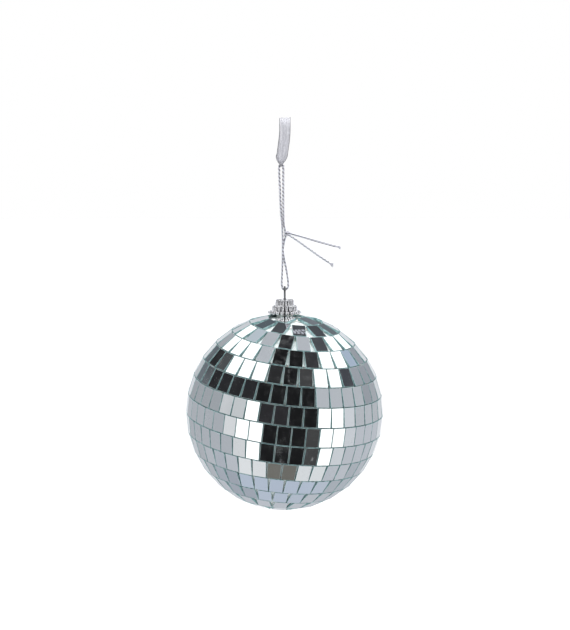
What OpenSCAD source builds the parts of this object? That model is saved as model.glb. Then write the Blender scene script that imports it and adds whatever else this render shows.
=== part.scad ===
// Hanging mirror ball: a hollow ball covered in hand-laid rows of flat mirror
// tiles, with a crown cap, a spring-wire hanger, a tinsel cord loop and a ribbon.
// Millimetres, +Z up. The origin is the inside top of the ribbon loop, where a
// rod or hook carries it. The ball hangs straight below.

/* [Ball] */
// Diameter over the faces of the mirror tiles
ball_d = 99.5; // [94:0.5:106]
// Depth of the ball's centre below the hanging point
drop = 148.5; // [147:0.5:152]
// Wall of each hollow half shell
shell_wall = 1.6; // [1:0.1:3]
// Film of white glue over the shells
glue_t = 0.45; // [0.3:0.05:0.6]

/* [Mirror tiles] */
// Width of one tile, along its row
tile_w = 6.75; // [6:0.05:7.5]
// Height of one tile, across its row
tile_h = 9.55; // [9:0.05:10]
// Thickness of the mirror glass
tile_t = 1.2; // [0.8:0.1:1.5]
// Least gap between the back edges of two tiles in a row
tile_gap = 0.1; // [0.08:0.02:0.3]
// Gap between the back edges of two rows
row_gap = 0.17; // [0.15:0.01:0.4]
// Lean of the tile pattern's axis away from the hanging axis
lean = 8.9; // [0:0.1:12]
// Direction that the pattern leans in, round from +X
lean_heading = -43; // [-180:1:180]
// Largest tilt of a hand-laid tile, in degrees
tile_tilt = 1; // [0:0.1:1]
// Thickness of the woven cloth behind each row
cloth_t = 0.35; // [0.2:0.05:0.4]

/* [Crown cap] */
// Vertical flutes round each tier
flutes = 18; // [12:1:24]
// Outer radius of the top, middle and bottom tier
tier_r = [4.7, 6.4, 8.5];
// Height of the top of each tier above the ball's centre
tier_top = [57.3, 54.1, 51.4];
// Height of the crown's rim above the ball's centre
crown_base = 49.8; // [49.75:0.05:50.5]
// Outer radius of the shell's neck, inside the crown
neck_r = 4.2; // [4:0.1:4.4]
// Bore radius of the neck
neck_bore_r = 3.2; // [3:0.1:3.4]

/* [Wire hanger] */
// Diameter of the spring wire
wire_d = 1.1; // [0.9:0.05:1.2]
// Radius of the wire eye, to the middle of the wire
eye_r = 2.4; // [2.3:0.1:2.6]
// Running clearance of the two legs in the crown's hole
leg_clearance = 0.08; // [0.02:0.01:0.1]

/* [Cord and ribbon] */
// Diameter of the tinsel cord
cord_d = 1.1; // [0.8:0.05:1.1]
// Full width of the ribbon
ribbon_w = 5.6; // [5:0.1:6]
// Thickness of the ribbon
ribbon_t = 0.3; // [0.2:0.05:0.3]

/* [Hidden] */
rows = 15;
mid_row = 8;
row_names = [for (i = [1 : rows]) str(i < 10 ? "0" : "", i)];
tile_nodes = [for (n = row_names) str("tile_row_", n)];
cloth_nodes = [for (n = row_names) str("cloth_strip_", n)];
piece_nodes = [
  "ribbon_loop", "cord_loop", "cord_knot", "cord_tail_upper", "cord_tail_lower",
  "frayed_tip_upper", "frayed_tip_lower", "hanger_wire", "crown_cap",
  "shell_upper", "shell_lower", "glue_layer", "bottom_tiles", "bottom_patch"
];

face_r = ball_d / 2;
glass_back_r = face_r - tile_t;
glue_film = 0.2;
cloth_r = glass_back_r - glue_film;
glue_outer_r = cloth_r - cloth_t - 0.05;
core_r = glue_outer_r - glue_t;
core_inner_r = core_r - shell_wall;
row_step = 2 * atan((tile_h + row_gap) / 2 / glass_back_r);
neck_top = 53.6;
neck_cut_r = neck_r + 0.3;
plate_bottom = 54.4;
plate_top = 56.8;
leg_y = wire_d / 2 + 0.07;
leg_hole_r = leg_y + wire_d / 2 + leg_clearance;
eye_z = 61.05;
// The legs are drawn a little thinner than the eye
leg_d = wire_d - 0.06;
bend_swell = 0.04;
round_fn = 96;
small_fn = 36;

// Where one tile of each row is centred, in degrees round from the front
row_turn = [-37, 6.5, -8, 3, 0, 3, -3, 0, 0, -3.5, -1, 3.5, 6, 9, -37];
spin_share = 0.25;
laid_seed = 700;

// Route of the cord loop: out of the knot, up over the ribbon's fold, down on
// the left, through the wire eye and back up into the knot
loop_route = [
  [0.2, 0, -56.3], [-0.35, 0, -53.5], [-0.6, 0, -49], [-0.68, 0, -43], [-0.7, 0, -36],
  [-0.7, 0, -29], [-0.7, 0, -24.8], [-0.95, 0, -23.85], [-1.75, 0, -23.45],
  [-2.55, 0, -23.85], [-2.8, 0, -24.8], [-2.7, 0, -30], [-2.4, 0, -36],
  [-2.15, -0.05, -42], [-1.75, -0.25, -49], [-1.3, -0.55, -55], [-1.05, -0.65, -61],
  [-1.05, -0.65, -67], [-1.15, -0.4, -74], [-1.4, -0.1, -80], [-1.55, 0, -83.8],
  [-1.2, 0, -85.6], [-0.55, 0, -86.3], [0.1, 0, -86.4], [0.75, 0, -86.3],
  [1.55, 0, -85.5], [1.85, 0, -84], [1.5, 0.1, -80.5], [0.75, 0.4, -76],
  [-0.25, 0.65, -71], [-0.85, 0.7, -67], [-0.45, 0.6, -63], [0.45, 0.1, -59.8]
];
upper_tail_route = [
  [1.8, 0.6, -57.9], [4, 0.65, -58.5], [9, 0.7, -59.9], [15, 0.8, -61.7],
  [20, 0.9, -63.1], [25.8, 1, -64.7]
];
lower_tail_route = [
  [1.7, -0.6, -58.6], [4, -0.65, -60.1], [8.5, -0.7, -63.2], [13, -0.8, -66.4],
  [18, -0.9, -69.9], [22.3, -1, -72.8]
];
tip_length = 3;
tip_r = 1.1;
knot_at = [0.85, 0, -58];
knot_r = 1.2;
knot_half = 0.6;
// Route of the ribbon: from its first end up the back, over the rod, down the
// front, through the cord loop and up the back again, behind the first end
ribbon_route = [
  [0, 4.15, -9], [0.1, 4.15, -6], [0.1, 4.15, -4], [0.1, 3.6, -1.95], [0.1, 2.1, -0.4],
  [0.1, 0, 0.15], [0.1, -2.1, -0.4], [0.1, -3.6, -1.95], [0.1, -4.15, -4],
  [0.05, -4.1, -7], [-0.25, -3.7, -11], [-0.8, -3.1, -15], [-1.35, -2.4, -19],
  [-1.7, -1.5, -22.4], [-1.75, -0.8, -23.9], [-1.75, 0, -24.4], [-1.75, 0.8, -23.9],
  [-1.7, 1.5, -22.4], [-1.35, 2.4, -19], [-0.8, 3.2, -15], [-0.3, 4.1, -11],
  [0, 4.75, -8], [0.1, 4.75, -6]
];
fold_at = [-1.75, 0, -24.4];
fold_half_w = 0.42;
fold_half_t = 0.24;
fold_gather = [1.2, 9];

// ---------- helpers ----------

// Point at fraction t between b and c on a smooth curve through a, b, c and d
function curve_point(a, b, c, d, t) =
  0.5 * (2 * b + (c - a) * t + (2 * a - 5 * b + 4 * c - d) * t * t
  + (3 * b - 3 * c + d - a) * t * t * t);

// A route with extra points between each pair, on one smooth curve
function smooth_route(route, parts) = let (last = len(route) - 1) concat(
  [for (i = [0 : last - 1], k = [0 : parts - 1])
    curve_point(route[max(i - 1, 0)], route[i], route[i + 1], route[min(i + 2, last)], k / parts)],
  [route[last]]
);

function unit(v) = v / norm(v);

function heading(path, i) = unit(path[min(i + 1, len(path) - 1)] - path[max(i - 1, 0)]);

// Triangles of a closed tube with the given rings and sides
function tube_faces(rings, sides) = concat(
  [for (i = [0 : rings - 2], k = [0 : sides - 1]) [
    i * sides + k, (i + 1) * sides + k, (i + 1) * sides + (k + 1) % sides]],
  [for (i = [0 : rings - 2], k = [0 : sides - 1]) [
    i * sides + k, (i + 1) * sides + (k + 1) % sides, i * sides + (k + 1) % sides]],
  [[for (k = [0 : sides - 1]) k]],
  [[for (k = [sides - 1 : -1 : 0]) (rings - 1) * sides + k]]
);

// A round tube along a path, each ring square to the path. The rings are set
// out from the Y direction, which no cord path runs along.
module cord_tube(path, d, sides = 8) {
  points = [for (i = [0 : len(path) - 1]) let (
    t = heading(path, i), u = unit(cross([0, 1, 0], t)), v = cross(t, u)
  ) for (k = [0 : sides - 1]) path[i] + d / 2 * (cos(k * 360 / sides) * u + sin(k * 360 / sides) * v)];
  polyhedron(points, tube_faces(len(path), sides), convexity = 10);
}

// A straight run of wire between two points [y, z] of the YZ plane
module wire_run(a, b) {
  run = b - a;
  translate([0, a[0], a[1]]) rotate([-atan2(run[0], run[1]), 0, 0])
    cylinder(h = norm(run), d = leg_d, $fn = small_fn);
}

// A wire through the points, a little swollen where it was bent or cut
module bent_wire(points) {
  for (i = [1 : len(points) - 1]) {
    wire_run(points[i - 1], points[i]);
    translate([0, points[i][0], points[i][1]]) sphere(d = leg_d + bend_swell, $fn = small_fn);
  }
}

module at_ball() {
  translate([0, 0, -drop]) children();
}

// The tile pattern's own axis, leaning away from the hanging axis
module leaning() {
  rotate([0, 0, lean_heading]) rotate([0, lean, 0]) rotate([0, 0, -lean_heading]) children();
}

function leaned(v) = let (
  h = lean_heading, a = v[0] * cos(h) + v[1] * sin(h), b = v[1] * cos(h) - v[0] * sin(h),
  c = a * cos(lean) + v[2] * sin(lean), z = v[2] * cos(lean) - a * sin(lean)
) [c * cos(h) - b * sin(h), c * sin(h) + b * cos(h), z];

function row_latitude(row) = (mid_row - row) * row_step;

// Distance from the pattern's axis to the pole-side back edge of a row
function row_edge_r(row) = let (a = abs(row_latitude(row)))
  glass_back_r * cos(a) - tile_h / 2 * sin(a);

function tiles_in_row(row) =
  floor(180 / atan((tile_w + tile_gap) / 2 / row_edge_r(row)));

function tile_centre(lat, turn) = face_r * [cos(lat) * cos(turn), cos(lat) * sin(turn), sin(lat)];

// A tile is left out where the neck stands
function clears_neck(p) = p[2] < 0 || norm([p[0], p[1]]) > neck_r + tile_w / 2 + 0.5;

// One flat tile touching the ball's sphere, with its own small tilt
module tile(lat, turn, tilt, w = tile_w, h = tile_h, spin = 0) {
  rotate([0, 0, turn]) rotate([0, -lat, 0]) translate([face_r, 0, 0])
    rotate([spin + spin_share * tilt[0], tilt[1], tilt[2]]) translate([-tile_t, -w / 2, -h / 2]) cube([tile_t, w, h]);
}

// ---------- the ball ----------

module tile_row(row) {
  lat = row_latitude(row);
  count = tiles_in_row(row);
  tilts = rands(-tile_tilt, tile_tilt, 3 * count, laid_seed + row);
  color("lightsteelblue") at_ball() leaning() for (i = [0 : count - 1]) {
    turn = row_turn[row - 1] - 90 + i * 360 / count;
    if (clears_neck(leaned(tile_centre(lat, turn))))
      tile(lat, turn, [tilts[3 * i], tilts[3 * i + 1], tilts[3 * i + 2]]);
  }
}

// The rosette that closes the bottom: one square tile and four cut corner tiles
module bottom_tiles() {
  corner = 5.2;
  corner_out = tile_w / 2 + 0.3 + corner / 2;
  corner_lat = atan(corner_out * sqrt(2) / glass_back_r) - 90;
  color("lightsteelblue") at_ball() leaning() {
    tile(-90, row_turn[rows - 1] - 90, [0, 0, 0], tile_w, tile_w);
    for (i = [0 : 3])
      tile(corner_lat, row_turn[rows - 1] - 45 + i * 90, [0, 0, 0], corner, corner, 45);
  }
}

// A cone-shaped band of cloth under one row
module cloth_strip(row) {
  lat = row_latitude(row);
  half = tile_h / 2;
  color("white") at_ball() difference() {
    leaning() rotate_extrude($fn = round_fn) polygon([for (q = [
      [cloth_r, -half], [cloth_r, half], [cloth_r - cloth_t, half], [cloth_r - cloth_t, -half]
    ]) [q[0] * cos(lat) - q[1] * sin(lat), q[0] * sin(lat) + q[1] * cos(lat)]]);
    cylinder(h = ball_d, r = neck_cut_r, $fn = small_fn);
  }
}

module bottom_patch() {
  patch_r = row_edge_r(rows) - 0.3;
  color("white") at_ball() leaning() translate([0, 0, -cloth_r])
    cylinder(h = cloth_t, r = patch_r, $fn = small_fn);
}

module glue_layer() {
  color("whitesmoke") at_ball() difference() {
    sphere(r = glue_outer_r, $fn = round_fn);
    sphere(r = core_r, $fn = round_fn);
    cylinder(h = ball_d, r = neck_cut_r, $fn = small_fn);
  }
}

module half_shell(upper) {
  intersection() {
    difference() {
      sphere(r = core_r, $fn = round_fn);
      sphere(r = core_inner_r, $fn = round_fn);
    }
    translate([-ball_d, -ball_d, upper ? 0 : -2 * ball_d]) cube(2 * ball_d);
  }
}

module shell_upper() {
  neck_root = core_inner_r - 0.6;
  color("gainsboro") at_ball() difference() {
    union() {
      half_shell(true);
      translate([0, 0, neck_root]) cylinder(h = neck_top - neck_root, r = neck_r, $fn = small_fn);
    }
    cylinder(h = ball_d, r = neck_bore_r, $fn = small_fn);
  }
}

// The lower shell carries the lip that locates the upper one
module shell_lower() {
  lip_r = core_inner_r - 0.35;
  lip_wall = 1.1;
  lip_top = 4;
  lip_root = -8;
  color("gainsboro") at_ball() {
    half_shell(false);
    difference() {
      translate([0, 0, lip_root]) cylinder(h = lip_top - lip_root, r = lip_r, $fn = round_fn);
      translate([0, 0, lip_root - 1])
        cylinder(h = lip_top - lip_root + 2, r = lip_r - lip_wall, $fn = round_fn);
    }
  }
}

// ---------- crown cap and wire ----------

// One tier: a drum with a ring of upright round flutes
module tier(r, bottom, top) {
  flute_r = r * sin(180 / flutes) * 0.92;
  translate([0, 0, bottom]) linear_extrude(height = top - bottom) {
    circle(r = r - flute_r, $fn = small_fn);
    for (i = [0 : flutes - 1]) rotate(i * 360 / flutes) translate([r - flute_r, 0])
      circle(r = flute_r, $fn = 24);
  }
}

module crown_cap() {
  skirt_wall = 1.6;
  color("silver") at_ball() difference() {
    union() {
      tier(tier_r[2], crown_base, tier_top[2]);
      tier(tier_r[1], tier_top[2], tier_top[1]);
      tier(tier_r[0], tier_top[1], plate_top);
      translate([0, 0, plate_top]) difference() {
        tier(tier_r[0], 0, tier_top[0] - plate_top);
        translate([0, 0, -1]) cylinder(h = 3, r = tier_r[0] - 1.5, $fn = small_fn);
      }
    }
    translate([0, 0, crown_base - 1])
      cylinder(h = plate_bottom - crown_base + 1, r = neck_r + 0.05, $fn = small_fn);
    translate([0, 0, crown_base - 1]) cylinder(h = 1.8, r = tier_r[2] - skirt_wall, $fn = small_fn);
    translate([0, 0, plate_bottom - 1]) cylinder(h = 5, r = leg_hole_r, $fn = small_fn);
  }
}

// One wire: a round eye, and two legs that spring apart below the neck
module hanger_wire() {
  leg_top = eye_z - sqrt(eye_r * eye_r - leg_y * leg_y);
  color("dimgray") at_ball() {
    translate([0, 0, eye_z]) rotate([0, -90, 0]) rotate_extrude($fn = round_fn)
      translate([eye_r, 0]) circle(d = wire_d, $fn = small_fn);
    for (side = [-1, 1]) bent_wire([
      [side * leg_y, leg_top], [side * leg_y, 51.5], [side * 2.2, 45],
      [side * 7, 37.5], [side * 7.8, 39.5]
    ]);
  }
}

// ---------- cord and ribbon ----------

module cord_loop() {
  color("silver") cord_tube(smooth_route(loop_route, 2), cord_d);
}

module cord_tail(route) {
  color("silver") cord_tube(smooth_route(route, 1), cord_d);
}

module cord_knot() {
  color("silver") translate(knot_at) {
    translate([0, 0, -knot_half]) cylinder(h = 2 * knot_half, r = knot_r, $fn = small_fn);
    for (side = [-1, 1]) translate([0, 0, side * knot_half]) sphere(r = knot_r, $fn = small_fn);
  }
}

// The last few millimetres of a tail, where the strands flare out
module frayed_tip(route) {
  last = len(route) - 1;
  along = unit(route[last] - route[last - 1]);
  color("silver") translate(route[last]) rotate([0, acos(along[2]), atan2(along[1], along[0])])
    cylinder(h = tip_length, r1 = cord_d / 2, r2 = tip_r, $fn = small_fn);
}

// Ribbon: a flat strip, gathered where it passes through the cord loop
module ribbon_loop() {
  path = smooth_route(ribbon_route, 2);
  points = [for (i = [0 : len(path) - 1]) let (
    t = heading(path, i), n = unit(cross([1, 0, 0], t)), w = cross(t, n),
    away = norm(path[i] - fold_at),
    f = min(1, max(0, (away - fold_gather[0]) / (fold_gather[1] - fold_gather[0]))),
    spread = f * f * (3 - 2 * f),
    hw = fold_half_w + (ribbon_w / 2 - fold_half_w) * spread,
    ht = fold_half_t + (ribbon_t / 2 - fold_half_t) * spread
  ) for (c = [[1, 1], [-1, 1], [-1, -1], [1, -1]]) path[i] + c[0] * hw * w + c[1] * ht * n];
  color("lavender", 0.8) polyhedron(points, tube_faces(len(path), 4), convexity = 10);
}

ribbon_loop();
cord_loop();
cord_knot();
cord_tail(upper_tail_route);  // cord_tail_upper
cord_tail(lower_tail_route);  // cord_tail_lower
frayed_tip(upper_tail_route);  // frayed_tip_upper
frayed_tip(lower_tail_route);  // frayed_tip_lower
hanger_wire();
crown_cap();
shell_upper();
shell_lower();
glue_layer();
bottom_tiles();
bottom_patch();
for (row = [1 : rows]) tile_row(row);
for (row = [1 : rows]) cloth_strip(row);
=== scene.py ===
"""Looks of a hanging mirror ball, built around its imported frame.

The ball is dressed in cut mirror tiles on woven cloth, with a fluted crown cap, a
spring-wire hanger, a braided tinsel cord tied in a knot and a sheer ribbon. Every
length is in metres, in the frame's own axes, and places come from the frame's nodes.
"""

import logging
import math
from collections.abc import Iterable, Sequence
from dataclasses import dataclass, field, replace
from enum import Enum

import bmesh
import bpy
import numpy as np
from mathutils import Matrix, Vector


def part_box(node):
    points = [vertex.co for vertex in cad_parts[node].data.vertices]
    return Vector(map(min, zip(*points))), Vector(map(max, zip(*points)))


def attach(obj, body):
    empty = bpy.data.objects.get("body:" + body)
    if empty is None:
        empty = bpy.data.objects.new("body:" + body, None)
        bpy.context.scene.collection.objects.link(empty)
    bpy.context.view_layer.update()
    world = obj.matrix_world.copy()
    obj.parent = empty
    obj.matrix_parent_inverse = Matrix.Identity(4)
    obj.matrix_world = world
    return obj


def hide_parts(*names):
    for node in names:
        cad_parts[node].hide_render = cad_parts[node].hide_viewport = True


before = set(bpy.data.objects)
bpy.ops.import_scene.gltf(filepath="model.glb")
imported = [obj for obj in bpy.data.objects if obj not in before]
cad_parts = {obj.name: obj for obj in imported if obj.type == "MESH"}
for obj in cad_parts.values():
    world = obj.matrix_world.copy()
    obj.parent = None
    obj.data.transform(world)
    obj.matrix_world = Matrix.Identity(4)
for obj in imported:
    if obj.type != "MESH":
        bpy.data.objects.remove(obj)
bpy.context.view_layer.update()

log = logging.getLogger("mirror_ball")
MM = 0.001
Colour = tuple[float, float, float]


class Body(Enum):
    """The moving bodies of the frame."""

    RIBBON = "ribbon"
    CORD = "cord"
    HANGER = "hanger"
    BALL = "ball"


class Slot(Enum):
    """The finishes that a shop could change."""

    MIRROR = "mirror_glass"
    CLOTH = "backing_cloth"
    GLUE = "white_glue"
    CORE = "core_plastic"
    CROWN = "silvered_crown"
    WIRE = "spring_wire"
    CORD = "tinsel_cord"
    RIBBON = "sheer_ribbon"


# ---------- node trees ----------


class Graph:
    """A node tree being wired up, for a finish, the studio or a shape."""

    def __init__(self, tree: bpy.types.NodeTree) -> None:
        """Starts from an empty tree.

        Args:
            tree: The tree to fill.
        """
        self.tree = tree
        tree.nodes.clear()

    def add(self, kind: str, inputs: dict | None = None, **settings) -> bpy.types.Node:
        """Adds one node.

        Args:
            kind: The node's type.
            inputs: Values or sockets by input name or index.
            **settings: The node's own settings.

        Returns:
            The new node.
        """
        node = self.tree.nodes.new(kind)
        for name, value in settings.items():
            setattr(node, name, value)
        for key, value in (inputs or {}).items():
            self.feed(self.socket(node.inputs, key), value)
        return node

    def feed(self, socket: bpy.types.NodeSocket, value: object) -> None:
        """Links a socket or sets its own value.

        Args:
            socket: The input to feed.
            value: A socket to link from, or a plain value.
        """
        if isinstance(value, bpy.types.NodeSocket):
            self.tree.links.new(value, socket)
        else:
            socket.default_value = value

    @staticmethod
    def socket(sockets: Iterable, key: str | int) -> bpy.types.NodeSocket:
        """Finds a socket that is in use.

        Args:
            sockets: A node's inputs or outputs.
            key: The socket's name, or its number among all of them.

        Returns:
            The socket.
        """
        if isinstance(key, int):
            return sockets[key]
        return next(s for s in sockets if s.enabled and s.name == key)

    def out(self, kind: str, inputs: dict | None = None, **settings) -> bpy.types.NodeSocket:
        """Adds a node and gives its first live output.

        Args:
            kind: The node's type.
            inputs: Values or sockets by input name or index.
            **settings: The node's own settings.

        Returns:
            The output socket.
        """
        node = self.add(kind, inputs, **settings)
        return next(s for s in node.outputs if s.enabled)

    def sum(self, operation: str, *terms: object) -> bpy.types.NodeSocket:
        """One step of arithmetic on numbers.

        Args:
            operation: The Math node's operation.
            *terms: Its inputs, in order.

        Returns:
            The result.
        """
        return self.out("ShaderNodeMath", dict(enumerate(terms)), operation=operation)

    def vector(self, operation: str, *terms: object) -> bpy.types.NodeSocket:
        """One step of arithmetic on vectors.

        Args:
            operation: The Vector Math node's operation.
            *terms: Its inputs, in order.

        Returns:
            The result.
        """
        return self.out("ShaderNodeVectorMath", dict(enumerate(terms)), operation=operation)

    def ramp(self, value: object, low: float, high: float, to: tuple[float, float] = (0.0, 1.0),
             soft: bool = True) -> bpy.types.NodeSocket:
        """Maps a range onto another, held at its ends.

        Args:
            value: The number to map.
            low: Where the range starts.
            high: Where it ends.
            to: What the two ends become.
            soft: True for ends that ease in and out.

        Returns:
            The mapped number.
        """
        return self.out(
            "ShaderNodeMapRange",
            {"Value": value, "From Min": low, "From Max": high, "To Min": to[0], "To Max": to[1]},
            interpolation_type="SMOOTHSTEP" if soft else "LINEAR",
        )

    def blend(self, share: object, first: object, second: object) -> bpy.types.NodeSocket:
        """Mixes two colours.

        Args:
            share: How much of the second, from 0 to 1.
            first: A colour or socket.
            second: A colour or socket.

        Returns:
            The mixed colour.
        """
        ends = [(*c, 1.0) if isinstance(c, tuple) else c for c in (first, second)]
        return self.out("ShaderNodeMix", {"Factor": share, "A": ends[0], "B": ends[1]}, data_type="RGBA")

    def point(self, x: object = 0.0, y: object = 0.0, z: object = 0.0) -> bpy.types.NodeSocket:
        """A vector from its three numbers."""
        return self.out("ShaderNodeCombineXYZ", {0: x, 1: y, 2: z})

    def scaled(self, vector: object, share: object) -> bpy.types.NodeSocket:
        """A vector made longer or shorter."""
        return self.out("ShaderNodeVectorMath", {0: vector, "Scale": share}, operation="SCALE")


class ShapeTree(Graph):
    """A Geometry Nodes tree with named inputs."""

    def __init__(self, name: str, **inputs: str) -> None:
        """Makes the tree and its inputs.

        Args:
            name: The tree's name.
            **inputs: The type of each input, by name: Float, Int, Vector or Material.
        """
        super().__init__(bpy.data.node_groups.new(name, "GeometryNodeTree"))
        self.name = name
        face = self.tree.interface
        face.new_socket("Geometry", in_out="INPUT", socket_type="NodeSocketGeometry")
        self.identifiers = {
            label: face.new_socket(label, in_out="INPUT", socket_type="NodeSocket" + kind).identifier
            for label, kind in inputs.items()
        }
        face.new_socket("Geometry", in_out="OUTPUT", socket_type="NodeSocketGeometry")
        self.given = self.add("NodeGroupInput").outputs

    def attribute(self, name: str, kind: str = "FLOAT_VECTOR") -> bpy.types.NodeSocket:
        """Reads a named attribute.

        Args:
            name: The attribute's name.
            kind: Its data type.

        Returns:
            Its value.
        """
        return self.out("GeometryNodeInputNamedAttribute", {"Name": name}, data_type=kind)

    def store(self, shape: object, name: str, value: object, kind: str,
              domain: str) -> bpy.types.NodeSocket:
        """Writes a named attribute.

        Args:
            shape: The geometry.
            name: The attribute's name.
            value: What to write.
            kind: Its data type.
            domain: What carries it.

        Returns:
            The geometry with the attribute.
        """
        return self.out(
            "GeometryNodeStoreNamedAttribute",
            {"Geometry": shape, "Name": name, "Value": value},
            data_type=kind, domain=domain,
        )

    def real(self, shape: object) -> bpy.types.NodeSocket:
        """The geometry with its instances made real."""
        return self.out("GeometryNodeRealizeInstances", {"Geometry": shape})

    def random(self, low: tuple, high: tuple) -> bpy.types.NodeSocket:
        """A random vector for each point, drawn with the tree's own seed."""
        return self.out("FunctionNodeRandomValue", {0: low, 1: high, "Seed": self.given["Seed"]},
                        data_type="FLOAT_VECTOR")

    def coat(self, shape: object, finish: str, **where: object) -> bpy.types.NodeSocket:
        """Gives geometry a finish.

        Args:
            shape: The geometry.
            finish: The tree's input that holds the finish.
            **where: Selection, for the finish on only some of its faces.

        Returns:
            The geometry with its finish.
        """
        return self.out("GeometryNodeSetMaterial",
                        {"Geometry": shape, "Material": self.given[finish], **where})

    def end(self, shape: object) -> None:
        """Sends the finished geometry out."""
        self.add("NodeGroupOutput", {"Geometry": shape})

    def grow(self, host: bpy.types.Mesh, name: str, sizes: dict[str, object]) -> bpy.types.Object:
        """Runs the tree on a mesh and keeps the result as a plain mesh.

        Args:
            host: The mesh that the tree starts from.
            name: The new piece's name.
            sizes: The tree's inputs by name.

        Returns:
            The new piece.
        """
        carrier = stand(name + "_carrier", host)
        modifier = carrier.modifiers.new(self.name, "NODES")
        modifier.node_group = self.tree
        for label, value in sizes.items():
            modifier[self.identifiers[label]] = value
        graph = bpy.context.evaluated_depsgraph_get()
        made = bpy.data.meshes.new_from_object(
            carrier.evaluated_get(graph), preserve_all_data_layers=True, depsgraph=graph
        )
        carrier.modifiers.remove(modifier)
        bpy.data.objects.remove(carrier)
        made.name = name
        return stand(name, made)


# ---------- mesh helpers ----------


def stand(name: str, data: bpy.types.ID) -> bpy.types.Object:
    """Puts a mesh, a lamp or a camera in the scene at the origin.

    Args:
        name: The object's name.
        data: Its mesh, lamp or camera.

    Returns:
        The object.
    """
    made = bpy.data.objects.new(name, data)
    bpy.context.scene.collection.objects.link(made)
    return made


def mesh_of(name: str, points: Sequence, faces: Sequence = (), edges: Sequence = ()) -> bpy.types.Mesh:
    """Makes a mesh from points.

    Args:
        name: The mesh's name.
        points: Its points.
        faces: Its faces, as lists of point numbers.
        edges: Its loose edges.

    Returns:
        The mesh.
    """
    made = bpy.data.meshes.new(name)
    made.from_pydata([tuple(map(float, p)) for p in points], list(edges),
                     [list(map(int, f)) for f in faces])
    made.update()
    return made


def face_out(mesh: bpy.types.Mesh, smooth: bool = True) -> bpy.types.Mesh:
    """Turns a closed mesh's faces outwards.

    Args:
        mesh: The mesh to turn.
        smooth: True to shade it smooth.

    Returns:
        The same mesh.
    """
    work = bmesh.new()
    work.from_mesh(mesh)
    bmesh.ops.remove_doubles(work, verts=work.verts, dist=1e-7)
    bmesh.ops.recalc_face_normals(work, faces=work.faces)
    for f in work.faces:
        f.smooth = smooth
    work.to_mesh(mesh)
    work.free()
    return mesh


def ring_faces(rings: int, sides: int, closed: bool = False) -> list[list[int]]:
    """Faces of a tube of rings.

    Args:
        rings: How many rings.
        sides: Points in each ring.
        closed: True if the last ring joins the first, else both ends are capped.

    Returns:
        The faces.
    """
    faces = [
        [i * sides + k, i * sides + (k + 1) % sides,
         (i + 1) % rings * sides + (k + 1) % sides, (i + 1) % rings * sides + k]
        for i in range(rings if closed else rings - 1) for k in range(sides)
    ]
    if not closed:
        faces += [list(range(sides))[::-1], list(range((rings - 1) * sides, rings * sides))]
    return faces


def lathe(name: str, outline: Sequence[tuple[float, float]], centre: Vector, sides: int) -> bpy.types.Mesh:
    """Turns a closed outline round the upright axis.

    Args:
        name: The mesh's name.
        outline: Points (radius, height above the centre) of a closed outline.
        centre: The centre that the heights count from.
        sides: Steps round the axis.

    Returns:
        The turned mesh.
    """
    angles = np.arange(sides) * 2 * math.pi / sides
    points = [
        (centre.x + r * math.cos(a), centre.y + r * math.sin(a), centre.z + z)
        for a in angles for r, z in outline
    ]
    return face_out(mesh_of(name, points, ring_faces(sides, len(outline), closed=True)), smooth=False)


def smooth_route(route: Sequence, spacing: float) -> np.ndarray:
    """Points at even steps on one smooth curve through a route.

    Args:
        route: The points that the curve passes.
        spacing: The step between the new points.

    Returns:
        The new points.
    """
    p = np.array(route, float)
    p = np.vstack([2 * p[0] - p[1], p, 2 * p[-1] - p[-2]])
    t = np.linspace(0, 1, 24, endpoint=False)[:, None]
    parts = []
    for a, b, c, d in zip(p[:-3], p[1:-2], p[2:-1], p[3:]):
        parts.append(0.5 * (2 * b + (c - a) * t + (2 * a - 5 * b + 4 * c - d) * t**2
                            + (3 * b - 3 * c + d - a) * t**3))
    line = np.vstack([*parts, p[-2:-1]])
    along = np.concatenate([[0], np.cumsum(np.linalg.norm(np.diff(line, axis=0), axis=1))])
    at = np.linspace(0, along[-1], int(along[-1] / spacing) + 2)
    return np.stack([np.interp(at, along, line[:, k]) for k in range(3)], axis=1)


def route_length(line: np.ndarray) -> float:
    """The length of a line of points, in metres."""
    return float(np.linalg.norm(np.diff(line, axis=0), axis=1).sum())


def attribute(mesh: bpy.types.Mesh, name: str, kind: str, domain: str, values: np.ndarray) -> None:
    """Writes an attribute on a mesh.

    Args:
        mesh: The mesh.
        name: The attribute's name.
        kind: Its data type.
        domain: What carries it.
        values: Its values, in order.
    """
    layer = mesh.attributes.new(name, kind, domain)
    layer.data.foreach_set("vector" if kind == "FLOAT_VECTOR" else "value",
                           np.asarray(values, np.float32).ravel())


def merged_copy(node: str) -> bmesh.types.BMesh:
    """A working copy of a frame node with its loose corners joined.

    Args:
        node: The node's name.

    Returns:
        The copy, which the caller frees.
    """
    work = bmesh.new()
    work.from_mesh(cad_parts[node].data)
    bmesh.ops.remove_doubles(work, verts=work.verts, dist=2e-6)
    return work


def corners_of(node: str) -> np.ndarray:
    """The corner points of a frame node.

    Args:
        node: The node's name.

    Returns:
        Its points, one to a row.
    """
    work = merged_copy(node)
    points = np.array([v.co[:] for v in work.verts])
    work.free()
    return points


def solids_of(node: str) -> list[np.ndarray]:
    """Splits a frame node into its separate solids.

    Args:
        node: The node's name.

    Returns:
        The corner points of each solid.
    """
    work = merged_copy(node)
    found, seen = [], set()
    for start in work.verts:
        if start in seen:
            continue
        group, queue = [], [start]
        seen.add(start)
        while queue:
            v = queue.pop()
            group.append(v.co[:])
            for e in v.link_edges:
                other = e.other_vert(v)
                if other not in seen:
                    seen.add(other)
                    queue.append(other)
        found.append(np.array(group))
    work.free()
    return found


# ---------- finishes ----------


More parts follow.
